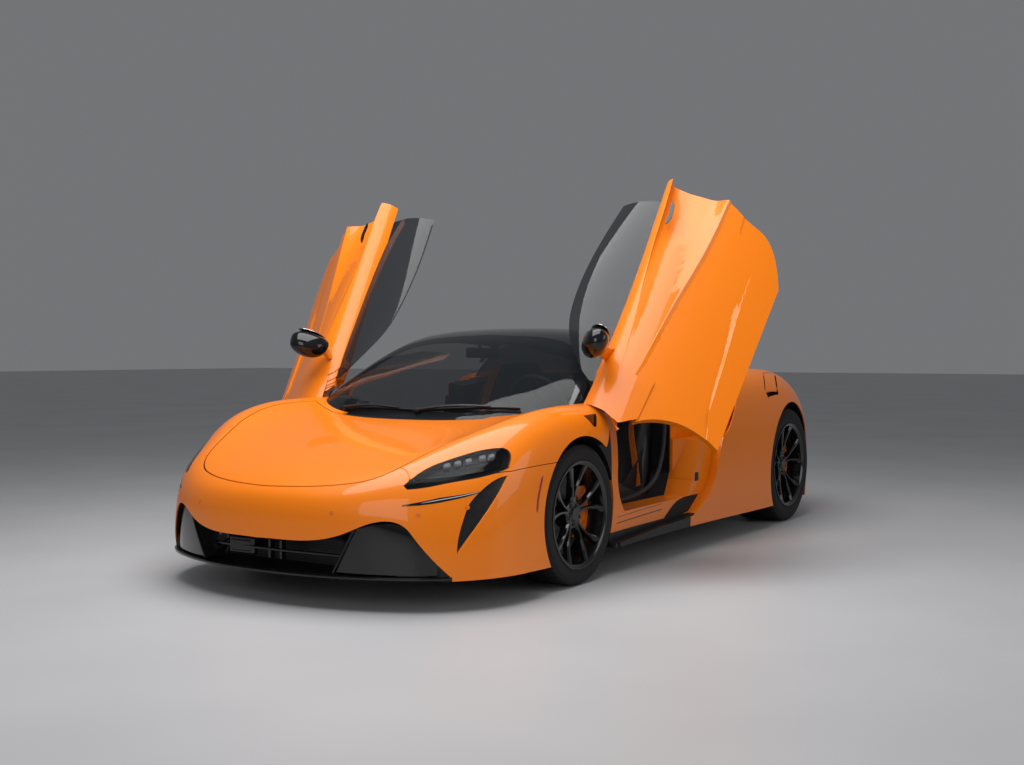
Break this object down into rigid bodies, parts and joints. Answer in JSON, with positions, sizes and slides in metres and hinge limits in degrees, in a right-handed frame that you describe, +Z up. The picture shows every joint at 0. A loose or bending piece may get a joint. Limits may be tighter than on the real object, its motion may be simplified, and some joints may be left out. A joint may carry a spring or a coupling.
{
  "type": "sports car",
  "caption": "Low mid-engined two-seat supercar standing with both upward-swinging doors raised, orange body, black roof, mirrors and wheels.",
  "frame": {"origin": "on the floor below the middle of the car's length and width", "axes": "+Z up, -Y towards the nose, +X towards the car's left"},
  "size_m": [3.0308, 4.5353, 1.9554],
  "materials": {
    "paint": "gloss clear coat",
    "gloss_black": "gloss",
    "carbon": "satin",
    "glass": "tinted",
    "lens": "clear over dark housing",
    "red_lens": "clear red",
    "seat": "matte",
    "trim": "matte",
    "engine": "cast",
    "exhaust": "brushed",
    "tyre": "matte",
    "rim": "satin black",
    "disc": "ground",
    "caliper": "painted",
    "arms": "cast"
  },
  "bodies": {
    "body": {"front_bumper": "paint", "fender_left": "paint", "fender_right": "paint", "quarter_left": "paint", "quarter_right": "paint", "rear_bumper": "paint", "roof": "gloss_black", "tub": "carbon", "front_structure": "carbon", "rear_structure": "carbon", "side_skirts": "carbon", "diffuser": "carbon", "front_grille": "carbon", "windscreen": "glass", "rear_window": "glass", "headlamps": "lens", "tail_lamps": "red_lens", "seats": "seat", "dashboard": "trim", "steering_wheel": "trim", "engine": "engine", "exhaust": "exhaust", "suspension_front": "arms", "suspension_rear": "arms"},
    "hood": {"hood": "paint"},
    "door_left": {"door_left": "paint", "door_glass_left": "glass", "mirror_left": "gloss_black"},
    "door_right": {"door_right": "paint", "door_glass_right": "glass", "mirror_right": "gloss_black"},
    "fuel_flap": {"fuel_flap": "paint"},
    "knuckle_left": {"knuckle_left": "caliper"},
    "knuckle_right": {"knuckle_right": "caliper"},
    "wheel_front_left": {"tyre_front_left": "tyre", "rim_front_left": "rim", "disc_front_left": "disc"},
    "wheel_front_right": {"tyre_front_right": "tyre", "rim_front_right": "rim", "disc_front_right": "disc"},
    "wheel_rear_left": {"tyre_rear_left": "tyre", "rim_rear_left": "rim", "disc_rear_left": "disc"},
    "wheel_rear_right": {"tyre_rear_right": "tyre", "rim_rear_right": "rim", "disc_rear_right": "disc"}
  },
  "joints": [
    {"name": "hood_hinge", "type": "hinge", "parent": "body", "child": "hood", "pos_m": [0, -1.0395, 0.8], "axis": [-1, 0, 0], "range_deg": [0, 50]},
    {"name": "door_left_hinge", "type": "hinge", "parent": "body", "child": "door_left", "pos_m": [0.787, -0.8435, 0.804], "axis": [-0.6341, 0.6201, 0.462], "range_deg": [0, 74.8]},
    {"name": "door_right_hinge", "type": "hinge", "parent": "body", "child": "door_right", "pos_m": [-0.787, -0.8435, 0.804], "axis": [-0.6341, -0.6201, -0.462], "range_deg": [0, 74.8]},
    {"name": "fuel_flap_hinge", "type": "hinge", "parent": "body", "child": "fuel_flap", "pos_m": [0.9176, 1.1588, 0.892], "axis": [0.3699, -0.7818, -0.5019], "range_deg": [0, 70]},
    {"name": "steer_left", "type": "hinge", "parent": "body", "child": "knuckle_left", "pos_m": [0.765, -1.1495, 0.3235], "axis": [0, 0, 1], "range_deg": [-35, 35]},
    {"name": "steer_right", "type": "hinge", "parent": "body", "child": "knuckle_right", "pos_m": [-0.765, -1.1495, 0.3235], "axis": [0, 0, 1], "range_deg": [-35, 35]},
    {"name": "spin_front_left", "type": "hinge", "parent": "knuckle_left", "child": "wheel_front_left", "pos_m": [0.825, -1.1495, 0.3235], "axis": [1, 0, 0], "continuous": true},
    {"name": "spin_front_right", "type": "hinge", "parent": "knuckle_right", "child": "wheel_front_right", "pos_m": [-0.825, -1.1495, 0.3235], "axis": [1, 0, 0], "continuous": true},
    {"name": "spin_rear_left", "type": "hinge", "parent": "body", "child": "wheel_rear_left", "pos_m": [0.8065, 1.4905, 0.357], "axis": [1, 0, 0], "continuous": true},
    {"name": "spin_rear_right", "type": "hinge", "parent": "body", "child": "wheel_rear_right", "pos_m": [-0.8065, 1.4905, 0.357], "axis": [1, 0, 0], "continuous": true}
  ],
  "couplings": [
    {"joint": "steer_right", "follows": "steer_left", "ratio": 1}
  ]
}
